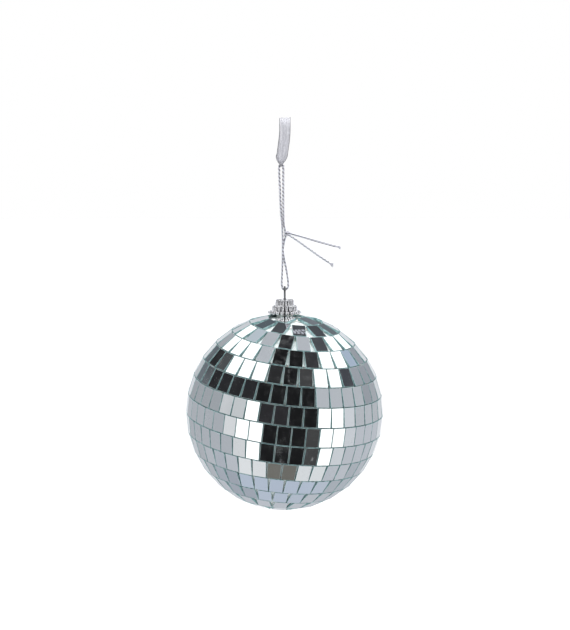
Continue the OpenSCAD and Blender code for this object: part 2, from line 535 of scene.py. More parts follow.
@dataclass(frozen=True)
class Finish:
    """A surface finish."""

    name: str

    def make(self) -> bpy.types.Material:
        """Builds the material.

        Returns:
            The material.
        """
        material = bpy.data.materials.new(self.name)
        material.use_nodes = True
        graph = Graph(material.node_tree)
        shader = graph.out("ShaderNodeBsdfPrincipled", self.inputs(graph))
        graph.add("ShaderNodeOutputMaterial", {"Surface": shader})
        return material

    def inputs(self, graph: Graph) -> dict[str, object]:
        """Wires up what the shader's inputs get.

        Args:
            graph: The material's graph.

        Returns:
            The values and sockets by input name.
        """
        raise NotImplementedError

    @staticmethod
    def place(graph: Graph) -> bpy.types.NodeSocket:
        """Where a point lies on its own piece, in metres."""
        return Graph.socket(graph.add("ShaderNodeTexCoord").outputs, "Object")

    @staticmethod
    def read(graph: Graph, name: str) -> list[bpy.types.NodeSocket]:
        """The three numbers of a vector attribute.

        Args:
            graph: The material's graph.
            name: The attribute's name.

        Returns:
            Its X, Y and Z.
        """
        vector = Graph.socket(graph.add("ShaderNodeAttribute", attribute_name=name).outputs, "Vector")
        return list(graph.add("ShaderNodeSeparateXYZ", {"Vector": vector}).outputs)

    @staticmethod
    def noise(graph: Graph, where: object, scale: float, detail: float = 2.0,
              rough: float = 0.5) -> bpy.types.NodeSocket:
        """A cloudy noise.

        Args:
            graph: The material's graph.
            where: The place to read it at.
            scale: Clouds in a metre.
            detail: How many finer layers it has.
            rough: How strong those layers are.

        Returns:
            The noise, about 0 to 1.
        """
        return graph.out("ShaderNodeTexNoise",
                         {"Vector": where, "Scale": scale, "Detail": detail, "Roughness": rough})

    @staticmethod
    def bump(graph: Graph, height: object, depth: float, strength: float = 1.0) -> bpy.types.NodeSocket:
        """Raises the surface by a height.

        Args:
            graph: The material's graph.
            height: The height, 0 to 1.
            depth: How far 1 stands out, in metres.
            strength: How much of it counts.

        Returns:
            The raised surface's normal.
        """
        return graph.out("ShaderNodeBump", {"Height": height, "Distance": depth, "Strength": strength})


@dataclass(frozen=True)
class Clouded(Finish):
    """One colour clouded with another, its shine and its height following the clouds.

    Attributes:
        colour: The main colour.
        cloud: The colour of the clouds.
        scale: Clouds in a metre, then how many finer layers, then how strong those are.
        spread: The noise at which a cloud starts and is full, then its share at most.
        shine: The noise from and to which the roughness goes, then the roughness at both.
        relief: How far the noise stands out, in metres, then how much of it counts.
        squeeze: The clouds' scale along the upright axis. Less than 1 draws them out.
        grain: Grains in a metre where a grain is raised in place of the clouds, else 0.
        others: The shader's other inputs.
    """

    colour: Colour
    cloud: Colour
    scale: tuple[float, float, float]
    spread: tuple[float, float, float]
    shine: tuple[float, float, float, float]
    relief: tuple[float, float]
    squeeze: float = 1.0
    grain: float = 0.0
    others: dict[str, float] = field(default_factory=dict)

    def inputs(self, graph: Graph) -> dict[str, object]:
        """Wires up what the shader's inputs get.

        Args:
            graph: The material's graph.

        Returns:
            The values and sockets by input name.
        """
        where = self.place(graph)
        drawn = where
        if self.squeeze != 1.0:
            drawn = graph.out("ShaderNodeMapping", {"Vector": where, "Scale": (1.0, 1.0, self.squeeze)})
        clouds = self.noise(graph, drawn, *self.scale)
        start, full, most = self.spread
        low, high, *ends = self.shine
        height = self.noise(graph, where, self.grain, 2) if self.grain else clouds
        shade = graph.ramp(clouds, start, full, (0.0, most))
        return {
            "Base Color": graph.blend(shade, self.colour, self.cloud),
            "Roughness": graph.ramp(clouds, low, high, ends),
            "Normal": self.bump(graph, height, *self.relief),
            **self.others,
        }


# The sea-green edge of cut mirror glass
CUT_GLASS = Clouded(
    "cut glass edge", (0.36, 0.54, 0.55), (0.13, 0.25, 0.26), scale=(700, 3, 0.5), spread=(0.35, 0.7, 1.0),
    shine=(0.3, 0.7, 0.06, 0.3), relief=(0.06 * MM, 0.5),
    others={"Specular IOR Level": 0.8, "Coat Weight": 0.7, "Coat Roughness": 0.05},
)
# White craft glue, rolled on and dried a little lumpy
DRIED_GLUE = Clouded(
    "white craft glue", (0.87, 0.87, 0.84), (0.7, 0.7, 0.64), scale=(260, 5, 0.6), spread=(0.3, 0.8, 0.35),
    shine=(0.3, 0.8, 0.35, 0.6), relief=(0.25 * MM, 1.0),
    others={"Subsurface Weight": 0.1, "Subsurface Scale": 1 * MM},
)
# Pale blown plastic with faint flow marks
BLOWN_PLASTIC = Clouded(
    "blown plastic", (0.80, 0.80, 0.78), (0.68, 0.68, 0.65), scale=(140, 3, 0.5), spread=(0.35, 0.7, 0.3),
    shine=(0.3, 0.7, 0.38, 0.52), relief=(0.02 * MM, 0.5), squeeze=0.25, grain=3500,
)
# Vacuum-silvered plastic, a little rubbed
SILVERED_PLASTIC = Clouded(
    "silvered crown", (0.94, 0.94, 0.955), (0.66, 0.65, 0.66), scale=(900, 4, 0.6),
    spread=(0.55, 0.75, 1.0), shine=(0.3, 0.8, 0.10, 0.26), relief=(0.05 * MM, 0.5),
    others={"Metallic": 0.82},
)
# Painted shade: the same plastic made near black for the drum's walls between the crown's teeth, where
# shade falls
CROWN_GROOVES_PAINTED_SHADE = replace(
    SILVERED_PLASTIC, name="crown grooves painted shade", colour=(0.05, 0.05, 0.055), cloud=(0.02, 0.02, 0.02),
)
# Bright drawn spring wire with fine draw lines
DRAWN_WIRE = Clouded(
    "drawn spring wire", (0.30, 0.30, 0.31), (0.25, 0.25, 0.26), scale=(5200, 2, 0.5),
    spread=(0.35, 0.7, 0.6), shine=(0.3, 0.7, 0.12, 0.28), relief=(0.02 * MM, 0.6), squeeze=0.08,
    others={"Metallic": 1.0},
)


@dataclass(frozen=True)
class MirrorFace(Finish):
    """Silvered glass, a little wavy, with worn silver along its cut edges."""

    silver: Colour = (0.90, 0.925, 0.93)
    edge_tint: Colour = (0.38, 0.52, 0.53)
    dust: Colour = (0.62, 0.64, 0.66)
    wear_width: float = 0.13 * MM

    def inputs(self, graph: Graph) -> dict[str, object]:
        """Wires up what the shader's inputs get.

        Args:
            graph: The material's graph.

        Returns:
            The values and sockets by input name.
        """
        where = self.place(graph)
        seed = self.read(graph, "seed")
        gaps = [
            graph.sum("SUBTRACT", half, graph.sum("ABSOLUTE", part))
            for half, part in list(zip(self.read(graph, "half"), self.read(graph, "spot")))[:2]
        ]
        to_edge = graph.sum("MINIMUM", *gaps)
        speckle = self.noise(graph, where, 2600, 3)
        reach = graph.sum("MULTIPLY_ADD", speckle, self.wear_width * 1.3, self.wear_width * -0.2)
        worn = graph.ramp(graph.sum("SUBTRACT", to_edge, reach), 0.0, self.wear_width, (1.0, 0.0))
        silver = graph.scaled(self.silver, graph.ramp(seed[0], 0, 1, (0.94, 1.0), soft=False))
        clouds = self.noise(graph, where, 300, 6, 0.72)
        tired = graph.ramp(seed[1], 0.70, 0.95, (0.25, 1.0))
        dusty = graph.sum("MULTIPLY", graph.ramp(clouds, 0.46, 0.80, (0.0, 0.14)), tired)
        dull = graph.sum("MAXIMUM", dusty, graph.sum("MULTIPLY", worn, 0.8))
        haze = graph.sum("MULTIPLY", graph.ramp(clouds, 0.48, 0.74, (0.0, 0.20)), tired)
        swell = self.noise(graph, where, 110, 1)
        waves = graph.sum("MULTIPLY_ADD", self.noise(graph, where, 900, 2), 0.05, swell)
        return {
            "Base Color": graph.blend(worn, graph.blend(dusty, silver, self.dust), self.edge_tint),
            "Metallic": graph.sum("SUBTRACT", 1.0, dull),
            "Roughness": graph.sum("ADD", haze, 0.012),
            "Coat Weight": 0.25,
            "Coat Roughness": 0.02,
            "Normal": self.bump(graph, waves, 0.05 * MM, 0.6),
        }


@dataclass(frozen=True)
class WovenCloth(Finish):
    """White backing cloth, woven round and along the ball, with painted shade in the low parts of its
    weave.
    """

    colour: Colour = (0.92, 0.95, 0.94)
    shadow: Colour = (0.62, 0.74, 0.74)
    thread: float = 0.45 * MM

    def inputs(self, graph: Graph) -> dict[str, object]:
        """Wires up what the shader's inputs get.

        Args:
            graph: The material's graph.

        Returns:
            The values and sockets by input name.
        """
        waves = [
            graph.sum("SINE", graph.sum("MULTIPLY", part, math.pi / self.thread))
            for part in self.read(graph, "weave")[:2]
        ]
        crossing = graph.sum("MULTIPLY", *waves)
        fuzz = self.noise(graph, self.place(graph), 2200, 4)
        height = graph.sum("MULTIPLY_ADD", fuzz, 0.5, crossing)
        return {
            # Painted shade: the low parts of the weave take the darker shadow colour
            "Base Color": graph.blend(graph.ramp(height, -0.6, 0.9, (0.7, 0.0)), self.colour, self.shadow),
            "Roughness": 0.85,
            "Sheen Weight": 0.3,
            "Normal": self.bump(graph, height, 0.08 * MM),
        }


@dataclass(frozen=True)
class Tinsel(Finish):
    """Metallised thread that glints in small facets, with painted dark glints in its colour."""

    bright: Colour = (0.78, 0.78, 0.85)
    dark: Colour = (0.035, 0.035, 0.045)
    metal: float = 0.35

    def inputs(self, graph: Graph) -> dict[str, object]:
        """Wires up what the shader's inputs get.

        Args:
            graph: The material's graph.

        Returns:
            The values and sockets by input name.
        """
        where = self.place(graph)
        hand = Graph.socket(graph.add("ShaderNodeAttribute", attribute_name="hand").outputs, "Fac")
        facets = graph.out("ShaderNodeTexVoronoi", {"Vector": where, "Scale": 2600.0})
        # Painted reflection: dark flecks in the colour stand for facets that mirror the dark studio
        glint = graph.ramp(self.noise(graph, where, 1500, 2), 0.56, 0.72, (0.0, 0.45))
        shade = graph.sum("MAXIMUM", glint, graph.sum("MULTIPLY", hand, 0.9))
        return {
            "Base Color": graph.blend(shade, self.bright, self.dark),
            "Metallic": graph.ramp(hand, 0.0, 1.0, (self.metal, 0.5)),
            "Roughness": graph.ramp(facets, 0.0, 0.7, (0.22, 0.45)),
            "Normal": self.bump(graph, facets, 0.06 * MM, 0.7),
        }


@dataclass(frozen=True)
class SheerCloth(Finish):
    """Sheer silver-lilac ribbon: an open weave between two dense edges, with painted sheen in lighter
    streaks.
    """

    colour: Colour = (0.51, 0.51, 0.555)
    lit: Colour = (0.72, 0.72, 0.76)
    edge: Colour = (0.13, 0.13, 0.15)
    thread: float = 0.32 * MM
    veil: float = 0.66

    def inputs(self, graph: Graph) -> dict[str, object]:
        """Wires up what the shader's inputs get.

        Args:
            graph: The material's graph.

        Returns:
            The values and sockets by input name.
        """
        across, along, share = self.read(graph, "weave")
        waves = [
            graph.sum("ABSOLUTE", graph.sum("SINE", graph.sum("MULTIPLY", part, math.pi / self.thread)))
            for part in (across, along)
        ]
        thread = graph.sum("MAXIMUM", *waves)
        selvedge = graph.ramp(graph.sum("ABSOLUTE", share), 0.86, 0.93)
        # Painted sheen: lighter streaks along the ribbon blend in the lit colour
        sheen_streaks = self.noise(graph, graph.point(across, graph.sum("MULTIPLY", along, 0.05)), 1500, 2)
        tone = graph.blend(graph.ramp(sheen_streaks, 0.40, 0.70, (0.0, 0.8)), self.colour, self.lit)
        open_weave = graph.ramp(thread, 0.25, 0.85, (self.veil - 0.3, self.veil + 0.22))
        return {
            "Base Color": graph.blend(selvedge, tone, self.edge),
            "Alpha": graph.sum("MAXIMUM", open_weave, selvedge),
            "Roughness": 0.42,
            "Sheen Weight": 0.5,
            "Specular IOR Level": 0.7,
            "Normal": self.bump(graph, thread, 0.05 * MM, 0.7),
        }


@dataclass(frozen=True)
class StudioFloor(Finish):
    """A plain pale floor, lit evenly from within."""

    glow: float = 0.62

    def inputs(self, graph: Graph) -> dict[str, object]:
        """The shader's plain values by input name."""
        return {"Base Color": (0.9, 0.9, 0.9, 1), "Roughness": 0.9,
                "Emission Color": (1, 1, 1, 1), "Emission Strength": self.glow}


# ---------- studio ----------


@dataclass(frozen=True)
class Card:
    """A soft-edged panel of the studio, placed by the direction it is seen in."""

    name: str
    azimuth: float
    elevation: float
    half_width: float
    half_height: float
    colour: Colour
    feather: float = 1.5


WHITE = (1.45, 1.45, 1.45)
BLACK = (0.012, 0.012, 0.013)


@dataclass
class Studio:
    """The camera, the floor and the soft studio round the ball."""

    distance: float = 1.2
    elevation: float = 8.0
    tilt: float = -5.661
    aim_right: float = 0.00015
    lens: float = 149.05
    floor_depth: float = 1.45
    floor_radius: float = 24.0
    floor_sides: int = 96
    fill_size: float = 0.8
    fills: tuple[tuple[str, tuple[float, float, float], float], ...] = (
        ("fill left", (-0.8, -0.7, 0.9), 9.0),
        ("fill right", (0.9, -0.5, 0.7), 5.0),
        ("fill top", (0.1, -0.2, 1.2), 11.0),
    )
    walls: Colour = (0.50, 0.52, 0.56)
    cards: tuple[Card, ...] = (
        Card("wall low", 0, -60, 400, 50, (0.53, 0.55, 0.60)),
        Card("wall far", 180, 0, 32, 22, (0.74, 0.76, 0.80), 8),
        Card("wall left", -104, 9, 50, 10, (0.37, 0.39, 0.42), 3),
        Card("wall left low", -112, -16, 42, 14, (0.44, 0.46, 0.50), 8),
        Card("wall left foot", -130, -53, 27, 17, (0.37, 0.40, 0.46), 7),
        Card("wall right", 128, 14, 24, 11, (0.34, 0.36, 0.40), 4),
        Card("wall right foot", 145, -41, 16, 14, (0.44, 0.47, 0.52), 7),
        Card("backdrop", 174, -7, 10, 10, (0.98, 0.98, 1.0), 4),
        Card("table", 0, -82, 400, 24, (0.49, 0.55, 0.66), 5),
        Card("table edge left", -57, -56, 17, 8, (0.78, 0.79, 0.81), 4),
        Card("table edge right", 62, -62, 27, 8, (0.74, 0.76, 0.78), 4),
        Card("ceiling back", 154, 54, 50, 13, (0.075, 0.08, 0.09), 2),
        Card("ceiling low", -176, 36, 17, 9, (0.10, 0.12, 0.14), 3),
        Card("ceiling lamp arm", 161, 26, 5, 4, (0.15, 0.17, 0.19), 2),
        Card("zenith", 175, 88, 180, 6, (0.025, 0.025, 0.028), 2),
        Card("softbox left", -95, 50, 62, 13, WHITE),
        Card("softbox corner", -152, 60, 11, 7, (0.52, 0.58, 0.64), 2),
        Card("softbox right", 93, 43, 50, 12, WHITE),
        Card("softbox right lip", 124, 29, 12, 5, (0.42, 0.50, 0.62)),
        Card("softbox end", 148, 28, 8, 6, WHITE),
        Card("screen left", -45, -24, 13, 34, WHITE),
        Card("screen right", 56, -25, 15, 27, WHITE),
        Card("screen edge left", -64, -12, 8, 32, (0.72, 0.73, 0.75), 3),
        Card("screen corner left", -57, 5, 6, 12, (0.60, 0.62, 0.64), 2),
        Card("screen edge right", 79, -25, 9, 24, (0.66, 0.68, 0.72), 3),
        Card("flag side", 93, 28, 7, 5, (0.065, 0.068, 0.08)),
        Card("flag top", 62, 63, 20, 7, (0.04, 0.04, 0.045)),
        Card("boom end", -140, 17, 20, 7, (0.13, 0.15, 0.17), 3),
        Card("boom", -66, 27, 68, 8.5, (0.024, 0.024, 0.027)),
        Card("boom clamp", -116, 34, 8, 9, (0.075, 0.08, 0.085)),
        Card("camera side", 5, 12, 36, 65, BLACK),
        Card("camera side edge", 37, 8, 5, 56, (0.06, 0.06, 0.062)),
        Card("camera side haze", -13, 4, 20, 5, (0.028, 0.027, 0.03), 3),
        Card("camera side top", -16, 56, 14, 10, (0.028, 0.028, 0.03), 5),
        Card("stand foot", -5, -67, 32, 9, (0.17, 0.165, 0.15), 2),
    )

    def build(self, centre: Vector) -> None:
        """Sets up the camera, the floor, the studio and the soft fill lights.

        Args:
            centre: The ball's centre.
        """
        self.place_camera(centre)
        self.lay_floor()
        self.paint_studio()
        self.hang_fill(centre)
        bpy.context.scene.view_settings.view_transform = "Standard"

    def place_camera(self, centre: Vector) -> None:
        """Stands the camera in front of the ball, a little above it and a little aside.

        Args:
            centre: The ball's centre.
        """
        data = bpy.data.cameras.new("camera")
        data.lens = self.lens
        data.sensor_fit = "HORIZONTAL"
        data.clip_start, data.clip_end = 0.05, 60
        camera = stand("camera", data)
        up = math.radians(self.elevation)
        camera.location = centre + Vector((0, -math.cos(up), math.sin(up))) * self.distance
        camera.location.x = self.aim_right
        camera.rotation_euler = (math.radians(90 + self.tilt), 0, 0)
        bpy.context.scene.camera = camera

    def lay_floor(self) -> None:
        """Lays a round pale floor below the ball. It gives no reflection of its own in the tiles."""
        radius = self.floor_radius
        angles = [i * 2 * math.pi / self.floor_sides for i in range(self.floor_sides)]
        rim = [(radius * math.cos(a), radius * math.sin(a), -self.floor_depth) for a in angles]
        floor = stand("floor", mesh_of("floor", rim, [list(range(self.floor_sides))]))
        floor.data.materials.append(StudioFloor("pale floor").make())
        floor.visible_glossy = False

    def paint_studio(self) -> None:
        """Paints the studio's walls, softboxes and dark flags as light by direction."""
        world = bpy.data.worlds.new("studio")
        bpy.context.scene.world = world
        world.use_nodes = True
        graph = Graph(world.node_tree)
        way = graph.add("ShaderNodeTexCoord").outputs["Generated"]
        east, north, height = graph.add("ShaderNodeSeparateXYZ", {"Vector": way}).outputs
        azimuth = graph.sum("DEGREES", graph.sum("ARCTAN2", east, graph.sum("MULTIPLY", north, -1.0)))
        elevation = graph.sum("DEGREES", graph.sum("ARCSINE", height))
        light = self.walls
        for card in self.cards:
            aside = graph.sum("WRAP", graph.sum("SUBTRACT", azimuth, card.azimuth), 180.0, -180.0)
            above = graph.sum("SUBTRACT", elevation, card.elevation)
            masks = [
                graph.ramp(graph.sum("ABSOLUTE", off), half - card.feather, half + card.feather, (1.0, 0.0))
                for off, half in ((aside, card.half_width), (above, card.half_height))
            ]
            light = graph.blend(graph.sum("MULTIPLY", *masks), light, card.colour)
        seen = graph.add("ShaderNodeLightPath").outputs["Is Camera Ray"]
        backdrop = graph.blend(seen, light, (1.0, 1.0, 1.0))
        shine = graph.add("ShaderNodeBackground", {"Color": backdrop})
        graph.add("ShaderNodeOutputWorld", {"Surface": shine.outputs[0]})

    def hang_fill(self, centre: Vector) -> None:
        """Hangs three broad soft lights: left, right and above.

        Args:
            centre: The ball's centre.
        """
        for name, offset, power in self.fills:
            data = bpy.data.lights.new(name, "AREA")
            data.size = self.fill_size
            data.energy = power
            lamp = stand(name, data)
            lamp.location = centre + Vector(offset)
            lamp.rotation_euler = (-Vector(offset)).to_track_quat("-Z", "Y").to_euler()
            lamp.visible_glossy = False
            lamp.visible_camera = False


# ---------- cord ----------


def metres(points: Sequence[Sequence[float]]) -> list[tuple[float, ...]]:
    """Points given in millimetres, in metres."""
    return [tuple(c * MM for c in p) for p in points]


@dataclass
class TinselCord:
    """One braided cord: up from its knot, over the ribbon, down through the wire eye and back."""

    diameter: float = 1.1 * MM
    strands: int = 4
    braid_radius: float = 0.28 * MM
    braid_wave: float = 0.06 * MM
    strand_radius: float = 0.25 * MM
    braid_pitch: float = 1.95 * MM
    tracer_share: float = 1.2
    core_radius: float = 0.22 * MM
    step: float = 0.11 * MM
    exit: tuple[float, float, float] = (0.0, 0.0, -86.4 * MM)
    loop_route: list = field(default_factory=lambda: metres([
        [0.2, 0, -56.3], [-0.35, 0, -53.5], [-0.6, 0, -49], [-0.68, 0, -43], [-0.7, 0, -36],
        [-0.7, 0, -29], [-0.7, 0, -24.8], [-0.95, 0, -23.85], [-1.75, 0, -23.45],
        [-2.55, 0, -23.85], [-2.8, 0, -24.8], [-2.7, 0, -30], [-2.4, 0, -36],
        [-2.15, -0.05, -42], [-1.75, -0.25, -49], [-1.3, -0.55, -55], [-1.05, -0.65, -61],
        [-1.05, -0.65, -67], [-1.15, -0.4, -74], [-1.4, -0.1, -80], [-1.55, 0, -83.8],
        [-1.2, 0, -85.6], [-0.55, 0, -86.3], [0.1, 0, -86.4], [0.75, 0, -86.3],
        [1.55, 0, -85.5], [1.85, 0, -84], [1.5, 0.1, -80.5], [0.75, 0.4, -76],
        [-0.25, 0.65, -71], [-0.85, 0.7, -67], [-0.45, 0.6, -63], [0.45, 0.1, -59.8],
    ]))
    upper_tail_route: list = field(default_factory=lambda: metres([
        [2.4, 0.5, -57.9], [4, 0.65, -58.5], [9, 0.7, -59.9], [15, 0.8, -61.7],
        [20, 0.9, -63.1], [25.8, 1, -64.7],
    ]))
    lower_tail_route: list = field(default_factory=lambda: metres([
        [2.3, -0.5, -59.1], [4, -0.65, -60.1], [8.5, -0.7, -63.2], [13, -0.8, -66.4],
        [18, -0.9, -69.9], [22.3, -1, -72.8],
    ]))
    knot_centre: tuple[float, float, float] = (0.85 * MM, 0.0, -58.0 * MM)
    knot_radius: float = 0.74 * MM
    knot_half_length: float = 0.72 * MM
    knot_points: int = 9
    fibres: int = 46
    fibre_length: float = 3.0 * MM
    fibre_radius: float = 0.075 * MM
    fibre_shortest: float = 0.62
    flare: float = 1.1 * MM
    tuft_tilt: float = 0.16
    tuft_spread: float = 0.9
    seeds: tuple[int, int] = (11, 12)

    def knot_turn(self, start: float) -> list[tuple[float, float, float]]:
        """One wrap of the knot, round a line across the cord.

        Args:
            start: The angle that it starts at, in degrees.

        Returns:
            The wrap's points.
        """
        x, y, z = self.knot_centre
        shares = [i / (self.knot_points - 1) for i in range(self.knot_points)]
        return [
            (x + self.knot_half_length * (2 * s - 1),
             y + self.knot_radius * math.cos(math.radians(start + 360 * s)),
             z + self.knot_radius * math.sin(math.radians(start + 360 * s)))
            for s in shares
        ]

    def route(self) -> np.ndarray:
        """The whole cord's line, from the lower tail's end to the upper tail's."""
        points = (
            self.lower_tail_route[::-1] + self.knot_turn(270)[::-1] + self.loop_route[::-1]
            + self.knot_turn(90) + self.upper_tail_route
        )
        return smooth_route(points, self.step)

    def build(self) -> None:
        line = self.route()
        thread = Tinsel("silver tinsel").make()
        fluff = Tinsel("loose tinsel", metal=0.5).make()
        cord = self.braid(line, thread)
        tips = [
            self.fray("frayed_end_lower", line[0], line[0] - line[6], fluff, self.seeds[0]),
            self.fray("frayed_end_upper", line[-1], line[-1] - line[-7], fluff, self.seeds[1]),
        ]
        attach(cord, Body.CORD.value)
        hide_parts("cord_loop", "cord_knot", "cord_tail_upper", "cord_tail_lower")
        for tip, node in zip(tips, ("frayed_tip_lower", "frayed_tip_upper")):
            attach(tip, Body.CORD.value)
            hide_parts(node)
        route_length(line)
        log.info("cord: %.1f mm of braid, two frayed ends", route_length(line) / MM)

    def braid(self, line: np.ndarray, thread: bpy.types.Material) -> bpy.types.Object:
        """Lays the strands over and under each other along the line.

        Args:
            line: The cord's line.
            thread: The strands' finish.

        Returns:
            The braided cord.
        """
        tree = ShapeTree("Braided cord", Strands="Int", Lay="Float", Wave="Float", Strand="Float",
                         Pitch="Float", Core="Float", Finish="Material")
        given = tree.given
        path = tree.out("GeometryNodeMeshToCurve", {"Mesh": given["Geometry"]})
        copies = tree.add("GeometryNodeDuplicateElements", {"Geometry": path, "Amount": given["Strands"]},
                          domain="SPLINE").outputs
        number = copies["Duplicate Index"]
        along = tree.add("GeometryNodeSplineParameter").outputs["Length"]
        turn = tree.sum("DIVIDE", tree.sum("MULTIPLY", along, 2 * math.pi), given["Pitch"])
        odd = tree.sum("MODULO", number, 2.0)
        hand = tree.sum("MULTIPLY_ADD", odd, -2.0, 1.0)
        seat = tree.sum("MULTIPLY", tree.sum("FLOOR", tree.sum("DIVIDE", number, 2.0)),
                        tree.sum("DIVIDE", 4 * math.pi, given["Strands"]))
        angle = tree.sum("MULTIPLY_ADD", turn, hand, seat)
        over = tree.sum("COSINE", tree.sum("MULTIPLY", turn, tree.sum("MULTIPLY", given["Strands"], 0.5)))
        tracer = tree.sum("COMPARE", number, 1.0, 0.5)
        lift = tree.sum("MULTIPLY_ADD", tracer, given["Wave"], given["Lay"])
        radius = tree.sum("MULTIPLY_ADD", tree.sum("MULTIPLY", over, given["Wave"]), hand, lift)
        normal = tree.out("GeometryNodeInputNormal")
        side = tree.vector("CROSS_PRODUCT", tree.out("GeometryNodeInputTangent"), normal)
        reach = [
            tree.scaled(axis, tree.sum("MULTIPLY", radius, tree.sum(wave, angle)))
            for axis, wave in ((normal, "COSINE"), (side, "SINE"))
        ]
        laid = tree.out("GeometryNodeSetPosition",
                        {"Geometry": copies["Geometry"], "Offset": tree.vector("ADD", *reach)})
        laid = tree.store(laid, "hand", tracer, "FLOAT", "POINT")
        stout = tree.sum("MULTIPLY_ADD", tracer, self.tracer_share - 1.0, 1.0)
        laid = tree.out("GeometryNodeSetCurveRadius", {"Curve": laid, "Radius": stout})
        tubes = [
            tree.out("GeometryNodeCurveToMesh", {
                "Curve": curve, "Fill Caps": True,
                "Profile Curve": tree.out("GeometryNodeCurvePrimitiveCircle",
                                          {"Resolution": 6, "Radius": given[size]}, mode="RADIUS"),
            })
            for curve, size in ((laid, "Strand"), (path, "Core"))
        ]
        joined = tree.add("GeometryNodeJoinGeometry")
        for tube in tubes:
            tree.tree.links.new(tube, joined.inputs[0])
        tree.end(tree.coat(tree.real(joined.outputs[0]), "Finish"))
        edges = [(i, i + 1) for i in range(len(line) - 1)]
        return tree.grow(mesh_of("cord line", line, edges=edges), "tinsel_cord", {
            "Strands": self.strands, "Lay": self.braid_radius, "Wave": self.braid_wave,
            "Strand": self.strand_radius, "Pitch": self.braid_pitch, "Core": self.core_radius,
            "Finish": thread,
        })

    def fray(self, name: str, place: np.ndarray, way: np.ndarray, fluff: bpy.types.Material,
             seed: int) -> bpy.types.Object:
        """Fans loose fibres out of one end.

        Args:
            name: The piece's name.
            place: Where the end is.
            way: The way that the end points.
            fluff: The fibres' finish.
            seed: The seed of their spread.

        Returns:
            The frayed end.
        """
        tree = ShapeTree("Frayed end", Fibres="Int", Length="Float", Flare="Float", Radius="Float",
                         Spread="Float", Seed="Int", Turn="Vector", Place="Vector", Finish="Material")
        given = tree.given
        reach = tree.point(tree.sum("MULTIPLY", given["Flare"], 0.25),
                           z=tree.sum("MULTIPLY", given["Length"], 0.5))
        tip = tree.point(given["Flare"], z=given["Length"])
        fibre = tree.out("GeometryNodeCurveQuadraticBezier",
                         {"Resolution": 7, "Start": (0, 0, 0), "Middle": reach, "End": tip})
        seats = tree.out("GeometryNodeMeshLine", {"Count": given["Fibres"], "Offset": (0, 0, 0)})
        aside = tree.scaled(tree.random((-1, -1, 0), (1, 1, 0)), given["Spread"])
        seats = tree.out("GeometryNodeSetPosition", {"Geometry": seats, "Offset": aside})
        tilt = self.tuft_tilt
        turn = tree.random((-tilt, -tilt, 0), (tilt, tilt, 2 * math.pi))
        size = tree.random((0.2, 0.2, self.fibre_shortest), (1.0, 1.0, 1.0))
        tuft = tree.out("GeometryNodeInstanceOnPoints", {
            "Points": seats, "Instance": fibre, "Scale": size,
            "Rotation": tree.out("FunctionNodeEulerToRotation", {"Euler": turn}),
        })
        round_fibre = tree.out("GeometryNodeCurvePrimitiveCircle",
                               {"Resolution": 4, "Radius": given["Radius"]}, mode="RADIUS")
        solid = tree.out("GeometryNodeCurveToMesh",
                         {"Curve": tree.real(tuft), "Profile Curve": round_fibre, "Fill Caps": True})
        put = tree.out("GeometryNodeTransform",
                       {"Geometry": solid, "Translation": given["Place"], "Rotation": given["Turn"]})
        tree.end(tree.coat(tree.real(put), "Finish"))
        turned = Vector(way).to_track_quat("Z", "Y").to_euler()
        return tree.grow(mesh_of("seat", [(0, 0, 0)]), name, {
            "Fibres": self.fibres, "Length": self.fibre_length, "Flare": self.flare,
            "Radius": self.fibre_radius, "Spread": self.braid_radius * self.tuft_spread,
            "Seed": seed,
            "Turn": tuple(turned), "Place": tuple(map(float, place)), "Finish": fluff,
        })


